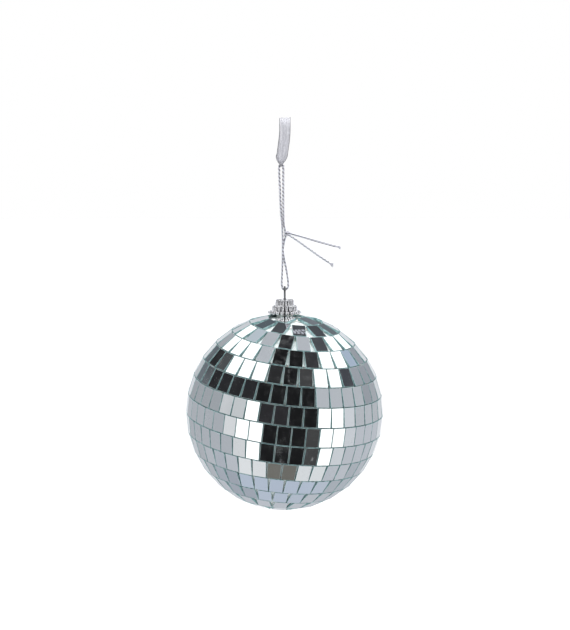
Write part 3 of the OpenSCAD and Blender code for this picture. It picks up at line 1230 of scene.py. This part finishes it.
@dataclass
class SheerRibbon:
    """A strip of sheer ribbon over the rod and through the cord, its ends lapped behind."""

    width: float = 5.6 * MM
    thickness: float = 0.12 * MM
    gathered_width: float = 0.84 * MM
    pleats: int = 5
    pleat_depth: float = 0.26 * MM
    gather_from: float = 0.9 * MM
    gather_to: float = 6.6 * MM
    ripple: float = 0.22 * MM
    back_slip: float = 0.6 * MM
    points_across: int = 57
    step: float = 0.4 * MM
    fold: tuple[float, float, float] = (-1.75 * MM, 0.0, -24.4 * MM)
    route: list = field(default_factory=lambda: metres([
        [0, 4.15, -9], [0.1, 4.15, -6], [0.1, 4.15, -4], [0.1, 3.6, -1.95], [0.1, 2.1, -0.4],
        [0.1, 0, 0.15], [0.1, -2.1, -0.4], [0.1, -3.6, -1.95], [0.1, -4.15, -4],
        [0.05, -4.1, -7], [-0.25, -3.7, -11], [-0.8, -3.1, -15], [-1.35, -2.4, -19],
        [-1.7, -1.5, -22.4], [-1.75, -0.8, -23.9], [-1.75, 0, -24.4], [-1.75, 0.8, -23.9],
        [-1.7, 1.5, -22.4], [-1.35, 2.4, -19], [-0.8, 3.2, -15], [-0.3, 4.1, -11],
        [0, 4.75, -8], [0.1, 4.75, -6],
    ]))

    def build(self) -> None:
        line = smooth_route(self.route, self.step)
        ribbon = stand("ribbon_strip", self.strip(line))
        ribbon.data.materials.append(SheerCloth("sheer ribbon").make())
        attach(ribbon, Body.RIBBON.value)
        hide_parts("ribbon_loop")
        route_length(line)
        log.info("ribbon: %.1f mm long", route_length(line) / MM)

    def strip(self, line: np.ndarray) -> bpy.types.Mesh:
        """The cloth itself, flat at the rod and pleated where the cord gathers it.

        Args:
            line: The ribbon's middle line.

        Returns:
            The mesh, with its weave's places.
        """
        share = np.linspace(-1, 1, self.points_across)
        rings, weave, run = [], [], 0.0
        for i, here in enumerate(line):
            ahead, behind = line[min(i + 1, len(line) - 1)], line[max(i - 1, 0)]
            way = (ahead - behind) / np.linalg.norm(ahead - behind)
            out = np.cross([1.0, 0.0, 0.0], way)
            out /= np.linalg.norm(out)
            wide = np.cross(way, out)
            away = np.linalg.norm(here - np.array(self.fold))
            f = min(1.0, max(0.0, (away - self.gather_from) / (self.gather_to - self.gather_from)))
            spread = math.sin(f * math.pi / 2) ** 1.2
            half = (self.gathered_width + (self.width - self.gathered_width) * spread) / 2
            pleat = self.pleat_depth * math.sqrt(1 - spread) * np.sin(math.pi * self.pleats * share)
            sway = self.ripple * spread * np.sin(3.1 * share + 420 * run) * np.cos(5.3 * share - 190 * run)
            lift = pleat + sway
            slip = self.back_slip * math.sin(math.pi * f) * (here[1] > 0)
            slid = np.array([slip, 0, 0])
            skin = [here + wide * (half * u) + out * h - slid for u, h in zip(share, lift)]
            thick = out * self.thickness / 2
            rings.append(np.array([p + thick for p in skin] + [p - thick for p in skin[::-1]]))
            across = share * self.width / 2
            weave += [(a, run, u) for a, u in zip(np.r_[across, across[::-1]], np.r_[share, share[::-1]])]
            run += float(np.linalg.norm(ahead - here))
        sides = 2 * self.points_across
        made = mesh_of("ribbon_strip", np.vstack(rings), ring_faces(len(rings), sides))
        attribute(made, "weave", "FLOAT_VECTOR", "POINT", np.array(weave))
        return face_out(made)


# ---------- wire and crown ----------


@dataclass
class WireHanger:
    """One spring wire: an eye, and two legs that spring apart inside the neck."""

    diameter: float = 1.1 * MM
    leg_gap: float = 1.24 * MM
    eye_radius: float = 2.4 * MM
    eye_height: float = 61.05 * MM
    eye_points: int = 25
    end_taper: tuple[float, float] = (0.72, 0.14)
    leg_points: tuple[tuple[float, float], ...] = (
        (7.8, 39.5), (7.0, 37.9), (6.3, 38.4), (2.3, 44.8), (0.66, 51.5),
    )
    sides: int = 16
    step: float = 0.25 * MM

    def build(self, centre: Vector) -> None:
        """Bends the wire.

        Args:
            centre: The ball's centre.
        """
        wire = stand("hanger_spring", self.bend(centre))
        wire.data.materials.append(DRAWN_WIRE.make())
        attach(wire, Body.HANGER.value)
        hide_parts("hanger_wire")
        log.info("wire hanger: %d faces", len(wire.data.polygons))

    def bend(self, centre: Vector) -> bpy.types.Mesh:
        """The wire along its line in the plane across the cord's loop.

        Args:
            centre: The ball's centre.

        Returns:
            The wire's mesh.
        """
        throat = math.asin(self.leg_gap / 2 / self.eye_radius)
        leg = [(y * MM, z * MM) for y, z in self.leg_points]
        leg.append((self.leg_gap / 2, self.eye_height - self.eye_radius * 1.5))
        turns = np.linspace(throat * 1.7, 2 * math.pi - throat * 1.7, self.eye_points)
        eye = [
            (self.eye_radius * math.sin(a), self.eye_height - self.eye_radius * math.cos(a)) for a in turns
        ]
        flat = leg + eye + [(-y, z) for y, z in leg[::-1]]
        line = smooth_route([(0.0, y, z) for y, z in flat], self.step) + np.array(centre)
        angles = np.arange(self.sides) * 2 * math.pi / self.sides
        rings = []
        for i, here in enumerate(line):
            way = line[min(i + 1, len(line) - 1)] - line[max(i - 1, 0)]
            side = np.array([1.0, 0.0, 0.0])
            other = np.cross(way / np.linalg.norm(way), side)
            near_end = min(i, len(line) - 1 - i)
            radius = self.diameter / 2 * min(1.0, self.end_taper[0] + self.end_taper[1] * near_end)
            rings += [here + radius * (math.cos(a) * side + math.sin(a) * other) for a in angles]
        return face_out(mesh_of("hanger_spring", rings, ring_faces(len(line), self.sides)))


@dataclass(frozen=True)
class Tier:
    """One tier of the crown."""

    radius: float
    bottom: float
    top: float


@dataclass
class CrownCap:
    """The silvered crown: stepped drums with upright rounded teeth and a holed plate."""

    teeth: int = 18
    tiers: tuple[Tier, ...] = (
        Tier(8.5 * MM, 49.8 * MM, 51.4 * MM),
        Tier(6.4 * MM, 51.4 * MM, 54.1 * MM),
        Tier(4.7 * MM, 54.1 * MM, 57.3 * MM),
    )
    plate_top: float = 56.8 * MM
    plate_bottom: float = 54.4 * MM
    socket_radius: float = 4.25 * MM
    hole_radius: float = 1.25 * MM
    skirt_wall: float = 1.6 * MM
    skirt_roof: float = 0.8 * MM
    edge: float = 0.18 * MM
    tooth_share: float = 0.315
    tooth_depth: float = 1.45
    wall_inset: float = 1.25
    lean: float = 7.0
    dome: float = 0.55 * MM
    dome_share: float = 0.34
    drum_sides: int = 108
    painted_shade_facing: float = 0.8

    def build(self, centre: Vector) -> None:
        """Moulds the crown.

        Args:
            centre: The ball's centre.
        """
        silver = SILVERED_PLASTIC.make()
        rings = [self.ring_of_teeth(tier, centre, silver) for tier in self.tiers]
        crown = joined("crown_cap_silvered", [self.drum(centre, silver), *rings])
        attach(crown, Body.BALL.value)
        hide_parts("crown_cap")
        log.info("crown cap: %d teeth in %d tiers", self.teeth * len(self.tiers), len(self.tiers))

    def half_tooth(self, tier: Tier) -> float:
        """Half the width of a tier's teeth."""
        return tier.radius * math.sin(math.pi / self.teeth) * 2 * self.tooth_share

    def drum(self, centre: Vector, silver: bpy.types.Material) -> bpy.types.Object:
        """The stepped body behind the teeth, its outward walls in painted shade.

        Args:
            centre: The ball's centre.
            silver: Its finish.

        Returns:
            The body.
        """
        skirt = self.tiers[0]
        inside, roof, edge = skirt.radius - self.skirt_wall, skirt.bottom + self.skirt_roof, self.edge
        outer = []
        for tier in self.tiers:
            r = tier.radius - self.half_tooth(tier) * self.tooth_depth * self.wall_inset
            top = min(tier.top, self.plate_top)
            outer += [(r + edge, tier.bottom), (r, top - edge), (r - edge, top)]
        outline = outer + [
            (self.hole_radius + edge, self.plate_top), (self.hole_radius, self.plate_top - edge),
            (self.hole_radius, self.plate_bottom), (self.socket_radius, self.plate_bottom),
            (self.socket_radius, roof), (inside, roof), (inside, skirt.bottom),
        ]
        drum = stand("drum", lathe("drum", outline, centre, self.drum_sides))
        drum.data.materials.append(silver)
        drum.data.materials.append(CROWN_GROOVES_PAINTED_SHADE.make())
        # Painted shade: faces that look outwards, between the teeth, get the near-black groove finish
        for face in drum.data.polygons:
            outwards = Vector((face.center.x - centre.x, face.center.y - centre.y, 0)).normalized()
            face.material_index = int(face.normal.dot(outwards) > self.painted_shade_facing)
        return drum

    def ring_of_teeth(self, tier: Tier, centre: Vector, silver: bpy.types.Material) -> bpy.types.Object:
        """Stands a ring of rounded teeth round one tier.

        Args:
            tier: The tier.
            centre: The ball's centre.
            silver: Their finish.

        Returns:
            The ring.
        """
        tree = ShapeTree("Ring of teeth", Count="Int", Radius="Float", Width="Float", Depth="Float",
                         Height="Float", Dome="Float", Lean="Float", Place="Vector", Finish="Material")
        given = tree.given
        ball = tree.out("GeometryNodeMeshUVSphere", {"Segments": 14, "Rings": 9, "Radius": 1.0})
        spot = tree.add("ShaderNodeSeparateXYZ", {"Vector": tree.out("GeometryNodeInputPosition")}).outputs
        shift = tree.sum("MULTIPLY", tree.sum("SIGN", spot[2]),
                         tree.sum("SUBTRACT", tree.sum("MULTIPLY", given["Height"], 0.5), given["Dome"]))
        drawn = tree.point(
            tree.sum("MULTIPLY", spot[0], given["Depth"]),
            tree.sum("MULTIPLY", spot[1], given["Width"]),
            tree.sum("MULTIPLY_ADD", spot[2], given["Dome"], shift),
        )
        tooth = tree.out("GeometryNodeSetPosition", {"Geometry": ball, "Position": drawn})
        tilt = tree.point(y=tree.sum("MULTIPLY", given["Lean"], -1.0))
        tooth = tree.out("GeometryNodeTransform", {"Geometry": tooth, "Rotation": tilt})
        seats = tree.out("GeometryNodeMeshCircle", {"Vertices": given["Count"], "Radius": given["Radius"]})
        number = tree.out("GeometryNodeInputIndex")
        heading = tree.sum("DIVIDE", tree.sum("MULTIPLY", number, 2 * math.pi), given["Count"])
        ring = tree.out("GeometryNodeInstanceOnPoints", {
            "Points": seats, "Instance": tooth,
            "Rotation": tree.out("FunctionNodeEulerToRotation", {"Euler": tree.point(z=heading)}),
        })
        put = tree.out("GeometryNodeTransform", {"Geometry": ring, "Translation": given["Place"]})
        tree.end(tree.coat(tree.out("GeometryNodeSetShadeSmooth", {"Geometry": tree.real(put)}), "Finish"))
        half = self.half_tooth(tier)
        depth = half * self.tooth_depth
        height = tier.top - tier.bottom
        place = centre + Vector((0, 0, (tier.top + tier.bottom) / 2))
        return tree.grow(mesh_of("seat", [(0, 0, 0)]), "teeth", {
            "Count": self.teeth, "Radius": tier.radius - depth, "Width": half, "Depth": depth,
            "Height": height, "Dome": min(self.dome, height * self.dome_share),
            "Lean": math.radians(self.lean), "Place": tuple(place), "Finish": silver,
        })


def joined(name: str, parts: list[bpy.types.Object]) -> bpy.types.Object:
    """Joins pieces into one that keeps all their materials.

    Args:
        name: The joined piece's name.
        parts: The pieces, which are used up.

    Returns:
        The joined piece.
    """
    materials = list(dict.fromkeys(m for part in parts for m in part.data.materials if m))
    work = bmesh.new()
    for part in parts:
        first = len(work.faces)
        work.from_mesh(part.data)
        work.faces.ensure_lookup_table()
        own = [materials.index(m) if m else 0 for m in part.data.materials]
        for face in work.faces[first:]:
            face.material_index = own[face.material_index]
    mesh = bpy.data.meshes.new(name)
    work.to_mesh(mesh)
    work.free()
    for material in materials:
        mesh.materials.append(material)
    for part in parts:
        bpy.data.objects.remove(part)
    return stand(name, mesh)


# ---------- the ball ----------


@dataclass
class TileSeat:
    """Where one tile lies: its face's middle, its three directions and its size."""

    middle: np.ndarray
    right: np.ndarray
    up: np.ndarray
    out: np.ndarray
    width: float
    height: float
    thickness: float

    @property
    def turn(self) -> tuple[float, float, float]:
        """The tile's turn as Euler angles."""
        return tuple(Matrix(np.stack([self.right, self.up, self.out], axis=1)).to_euler())


@dataclass
class MirrorBall:
    """The hollow ball with its glue, cloth strips and rows of mirror tiles."""

    rows: int = 15
    chamfer: float = 0.09 * MM
    chamfer_steps: tuple[tuple[float, float], ...] = ((0.62, 0.22), (0.38, 0.78))
    cloth_steps: int = 240
    patch_steps: int = 96
    ripple: float = 0.05 * MM
    neck_radius: float = 4.5 * MM
    neck_span: tuple[float, float] = (40 * MM, 60 * MM)
    seed: int = 21

    def __post_init__(self) -> None:
        """Finds the ball's centre, and the pattern's own axis and two directions across it."""
        low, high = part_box("glue_layer")
        self.centre = (low + high) / 2
        points = corners_of("cloth_strip_08")
        axis = np.linalg.svd(points - points.mean(0))[2][2]
        self.axis = axis * np.sign(axis[2])
        self.origin = np.array(self.centre)
        front = np.cross(self.axis, [1.0, 0.0, 0.0])
        front /= np.linalg.norm(front)
        self.directions = np.stack([np.cross(front, self.axis), front, self.axis])

    def build(self) -> None:
        """Dresses the core, lays the cloth and sets the tiles."""
        self.dress_core()
        cloth = WovenCloth("woven backing").make()
        faces = {"Mirror": MirrorFace("mirror glass").make(), "Edge": CUT_GLASS.make()}
        tree = self.tile_tree()
        rng = np.random.default_rng(self.seed)
        for row in range(1, self.rows + 1):
            self.lay_cloth(f"cloth_strip_{row:02d}", f"cloth_band_{row:02d}", cloth)
            self.set_tiles(tree, f"tile_row_{row:02d}", f"mirror_row_{row:02d}", faces, rng)
        self.patch_bottom(cloth)
        self.set_tiles(tree, "bottom_tiles", "mirror_rosette", faces, rng)

    def dress_core(self) -> None:
        """Gives the hidden shells and glue their finishes."""
        plastic, glue = BLOWN_PLASTIC.make(), DRIED_GLUE.make()
        for node, finish, slot in (
            ("shell_upper", plastic, Slot.CORE), ("shell_lower", plastic, Slot.CORE),
            ("glue_layer", glue, Slot.GLUE),
        ):
            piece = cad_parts[node]
            piece.data.materials.clear()
            piece.data.materials.append(finish)
        log.info("core: two half shells and the glue layer")

    def seats(self, node: str) -> list[TileSeat]:
        """Reads where each tile of a node lies.

        Args:
            node: The node's name.

        Returns:
            The tiles' seats.
        """
        found = []
        for block in solids_of(node):
            middle = block.mean(0)
            spans = sorted(
                ((np.linalg.norm(p - block[0]), p - block[0]) for p in block[1:]), key=lambda s: s[0]
            )
            thin, first = spans[0][1], spans[1][1]
            second = next(s for _, s in spans[2:] if self.square(s, first) and self.square(s, thin))
            thickness = float(np.linalg.norm(thin))
            out = thin / thickness
            out *= np.sign(out @ (middle - self.origin))
            up = second / np.linalg.norm(second)
            up *= np.sign(up @ self.axis) if abs(up @ self.axis) > 1e-6 else 1.0
            right = np.cross(up, out)
            width, height = float(np.linalg.norm(first)), float(np.linalg.norm(second))
            found.append(TileSeat(middle + out * thickness / 2, right, up, out, width, height, thickness))
        found.sort(key=lambda s: math.atan2(s.middle[1], s.middle[0]))
        return found

    @staticmethod
    def square(one: np.ndarray, other: np.ndarray) -> bool:
        """True where two edges stand square to each other."""
        return abs(one @ other) < 1e-3 * np.linalg.norm(one) * np.linalg.norm(other)

    def tile_tree(self) -> ShapeTree:
        """The tree that cuts one tile with eased edges and sets a copy in every seat.

        Returns:
            The tree.
        """
        tree = ShapeTree("Mirror tiles", Width="Float", Height="Float", Thickness="Float",
                         Chamfer="Float", Mirror="Material", Edge="Material")
        given = tree.given
        depth = tree.sum("SUBTRACT", given["Thickness"], given["Chamfer"])
        block = tree.out("GeometryNodeMeshCube",
                         {"Size": tree.point(given["Width"], given["Height"], depth)})
        sunk = tree.sum("ADD", tree.sum("MULTIPLY", depth, 0.5), given["Chamfer"])
        down = tree.point(z=tree.sum("MULTIPLY", sunk, -1.0))
        glass = tree.out("GeometryNodeTransform", {"Geometry": block, "Translation": down})
        normal = tree.out("GeometryNodeInputNormal")
        facing = tree.add("ShaderNodeSeparateXYZ", {"Vector": normal}).outputs[2]
        top = tree.out("FunctionNodeCompare", {0: facing, 1: 0.9},
                       data_type="FLOAT", operation="GREATER_THAN")
        for rise, inset in self.chamfer_steps:
            lift = tree.sum("MULTIPLY", given["Chamfer"], rise)
            raised = tree.add("GeometryNodeExtrudeMesh",
                              {"Mesh": glass, "Selection": top, "Offset Scale": lift}, mode="FACES").outputs
            cut = tree.sum("MULTIPLY", given["Chamfer"], 2 * inset)
            scale = tree.point(
                *(tree.sum("SUBTRACT", 1.0, tree.sum("DIVIDE", cut, given[side]))
                  for side in ("Width", "Height")), 1.0,
            )
            glass = tree.out("GeometryNodeSetPosition", {
                "Geometry": raised["Mesh"], "Selection": raised["Top"],
                "Position": tree.vector("MULTIPLY", tree.out("GeometryNodeInputPosition"), scale),
            })
            top = raised["Top"]
        glass = tree.store(glass, "front", top, "BOOLEAN", "FACE")
        glass = tree.store(glass, "spot", tree.out("GeometryNodeInputPosition"), "FLOAT_VECTOR", "POINT")
        half = tree.point(*(tree.sum("MULTIPLY", given[side], 0.5) for side in ("Width", "Height")))
        glass = tree.store(glass, "half", half, "FLOAT_VECTOR", "POINT")
        turn = tree.out("FunctionNodeEulerToRotation", {"Euler": tree.attribute("turn")})
        set_out = tree.out("GeometryNodeInstanceOnPoints",
                           {"Points": given["Geometry"], "Instance": glass, "Rotation": turn})
        edged = tree.coat(tree.real(set_out), "Edge")
        tree.end(tree.coat(edged, "Mirror", Selection=tree.attribute("front", "BOOLEAN")))
        return tree

    def set_tiles(self, tree: ShapeTree, node: str, name: str, faces: dict[str, bpy.types.Material],
                  rng: np.random.Generator) -> None:
        """Sets the tiles of one node.

        Args:
            tree: The tile tree.
            node: The node whose seats are filled.
            name: The new piece's name.
            faces: The finishes of the mirror and its edges.
            rng: Draws each tile's own shade.
        """
        seats = self.seats(node)
        groups: dict[float, list[TileSeat]] = {}
        for seat in seats:
            groups.setdefault(round(seat.height, 5), []).append(seat)
        parts = []
        for group in groups.values():
            host = mesh_of("seats", [s.middle for s in group])
            attribute(host, "turn", "FLOAT_VECTOR", "POINT", np.array([s.turn for s in group]))
            attribute(host, "seed", "FLOAT_VECTOR", "POINT", rng.random((len(group), 3)))
            first = group[0]
            parts.append(tree.grow(host, name, {
                "Width": first.width, "Height": first.height, "Thickness": first.thickness,
                "Chamfer": self.chamfer, **faces,
            }))
        piece = parts[0] if len(parts) == 1 else joined(name, parts)
        piece.name = name
        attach(piece, Body.BALL.value)
        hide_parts(node)
        log.info("%s: %d tiles", name, len(seats))

    def lay_cloth(self, node: str, name: str, cloth: bpy.types.Material) -> None:
        """Lays one woven strip with rolled edges, cut round the neck where it meets it.

        Args:
            node: The node that it stands for.
            name: The new piece's name.
            cloth: Its finish.
        """
        top = node.endswith("_01")
        corners = self.strip_corners(node.replace("_01", f"_{self.rows:02d}"))
        if top:
            corners = [(r, -z) for r, z in corners[::-1]]
        strip = stand(name, self.band(name, corners))
        if top:
            strip = self.without_neck(strip)
        self.finish_cloth(strip, node, cloth)

    def finish_cloth(self, strip: bpy.types.Object, node: str, cloth: bpy.types.Material) -> None:
        """Marks where the weave runs on a piece of cloth and gives it to the ball.

        Args:
            strip: The cloth.
            node: The node that it stands for.
            cloth: Its finish.
        """
        mesh = strip.data
        spots = np.empty(len(mesh.vertices) * 3, np.float32)
        mesh.vertices.foreach_get("co", spots)
        spots = (spots.reshape(-1, 3) - self.origin) @ self.directions.T
        corners = np.empty(len(mesh.loops), np.int32)
        mesh.loops.foreach_get("vertex_index", corners)
        angles = np.arctan2(spots[:, 1], spots[:, 0])[corners]
        for face in mesh.polygons:
            run = slice(face.loop_start, face.loop_start + face.loop_total)
            angles[run] += 2 * math.pi * np.round((angles[face.loop_start] - angles[run]) / (2 * math.pi))
        x, y, z = spots[corners].T
        radius = np.hypot(x, y)
        mean = float(radius.mean())
        flat = node == "bottom_patch"
        along = y if flat else np.hypot(z, radius - mean) * np.sign(z - z.mean())
        weave = np.stack([x if flat else angles * mean, along, 0 * z], axis=1)
        attribute(mesh, "weave", "FLOAT_VECTOR", "CORNER", weave)
        mesh.materials.clear()
        mesh.materials.append(cloth)
        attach(strip, Body.BALL.value)
        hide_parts(node)
        log.info("%s: %d faces", strip.name, len(mesh.polygons))

    def spot(self, angle: float, radius: float, height: float) -> np.ndarray:
        """The point at an angle round the pattern's axis, a radius from it and a height along it."""
        radial = self.directions[0] * math.cos(angle) + self.directions[1] * math.sin(angle)
        return self.origin + radial * radius + self.axis * height

    def section(self, node: str) -> np.ndarray:
        """Each corner of a node as its radius from the pattern's axis and its height along it.

        Args:
            node: The node's name.

        Returns:
            The radius and height of each corner, one corner to a row.
        """
        points = corners_of(node) - self.origin
        heights = points @ self.axis
        radii = np.linalg.norm(points - heights[:, None] * self.axis, axis=1)
        return np.stack([radii, heights], axis=1)

    def strip_corners(self, node: str) -> list[tuple[float, float]]:
        """The corners of a cloth strip's section, from its radius and height about the axis.

        Args:
            node: The strip's node.

        Returns:
            Its corners: low outer, high outer, high inner and low inner.
        """
        section = self.section(node)
        out = section.mean(0) / np.linalg.norm(section.mean(0))
        up = np.array([-out[1], out[0]])
        reach, rise = section @ out, section @ up
        found = []
        for high, far in ((False, True), (True, True), (True, False), (False, False)):
            chosen = ((rise > rise.mean()) == high) & ((reach > (reach.max() + reach.min()) / 2) == far)
            found.append(tuple(section[chosen].mean(0)))
        return found

    def band(self, name: str, corners: list[tuple[float, float]]) -> bpy.types.Mesh:
        """A band of cloth round the pattern's axis, its edges rolled and its face a little rippled.

        Args:
            name: The mesh's name.
            corners: Its section's corners.

        Returns:
            The band.
        """
        low, high, high_in, low_in = (np.array(c) for c in corners)
        up = (high - low) / np.linalg.norm(high - low)
        inward = low_in - low
        thickness = np.linalg.norm(inward)
        # Up the outer face, round the top edge, down the inner face and round the bottom edge.
        # The second number is how much of the ripple a point takes
        outline = [(low + (high - low) * share, 1.0) for share in np.linspace(0.03, 0.97, 12)]
        for middle, start in (((high + high_in) / 2, 60), ((low + low_in) / 2, -120)):
            if start < 0:
                inner = np.linspace(0.97, 0.03, 6)
                outline += [(low_in + (high_in - low_in) * share, 0.0) for share in inner]
            for angle in (start, start - 60, start - 120):
                a = math.radians(angle)
                off = up * math.cos(a) * 0.9 - inward / thickness * math.sin(a)
                outline.append((middle + (off - up * 0.9 * np.sign(start)) * thickness / 2, 0.3))
        rings = []
        for k in range(self.cloth_steps):
            a = 2 * math.pi * k / self.cloth_steps
            for n, (spot, free) in enumerate(outline):
                wave = 0.5 + 0.5 * math.sin(23 * a + 0.9 * n) * math.cos(7 * a - 0.4 * n)
                rings.append(self.spot(a, *(spot + inward / thickness * (self.ripple * free * wave))))
        return face_out(mesh_of(name, rings, ring_faces(self.cloth_steps, len(outline), closed=True)))

    def without_neck(self, strip: bpy.types.Object) -> bpy.types.Object:
        """Cuts the neck's place out of a strip.

        Args:
            strip: The strip, which is used up.

        Returns:
            The cut strip.
        """
        r, (low, high) = self.neck_radius, self.neck_span
        core = lathe("neck place", [(0, low), (r, low), (r, high), (0, high)], self.centre, 72)
        cutter = stand("neck place", core)
        modifier = strip.modifiers.new("neck", "BOOLEAN")
        modifier.operation = "DIFFERENCE"
        modifier.solver = "EXACT"
        modifier.object = cutter
        graph = bpy.context.evaluated_depsgraph_get()
        mesh = bpy.data.meshes.new_from_object(strip.evaluated_get(graph))
        name = strip.name
        strip.modifiers.remove(modifier)
        bpy.data.objects.remove(strip)
        bpy.data.objects.remove(cutter)
        mesh.name = name
        return stand(name, face_out(mesh))

    def patch_bottom(self, cloth: bpy.types.Material) -> None:
        """Lays the round patch of cloth behind the rosette.

        Args:
            cloth: Its finish.
        """
        radii, heights = self.section("bottom_patch").T
        radius, low, high = radii.max(), heights.min(), heights.max()
        roll = (high - low) * 0.3
        shares = np.linspace(0, 1, 10)
        outline = [(radius * s - roll * (s == 1), low) for s in shares]
        outline += [(radius, low + roll), (radius, high - roll)]
        outline += [(radius * s - roll * (s == 1), high - self.ripple * (1 - s) * s) for s in shares[::-1]]
        angles = np.arange(self.patch_steps) * 2 * math.pi / self.patch_steps
        rings = [self.spot(a, r, z) for a in angles for r, z in outline]
        faces = ring_faces(self.patch_steps, len(outline), closed=True)
        mesh = face_out(mesh_of("cloth_patch_bottom", rings, faces))
        self.finish_cloth(stand("cloth_patch_bottom", mesh), "bottom_patch", cloth)


# ---------- making ----------


def main() -> None:
    """Builds the whole ornament in order, the studio and the free cords first."""
    logging.basicConfig(level=logging.INFO, format="%(name)s: %(message)s")
    ball = MirrorBall()
    Studio().build(ball.centre)
    TinselCord().build()
    SheerRibbon().build()
    WireHanger().build(ball.centre)
    CrownCap().build(ball.centre)
    ball.build()


if __name__ == "__main__":
    main()
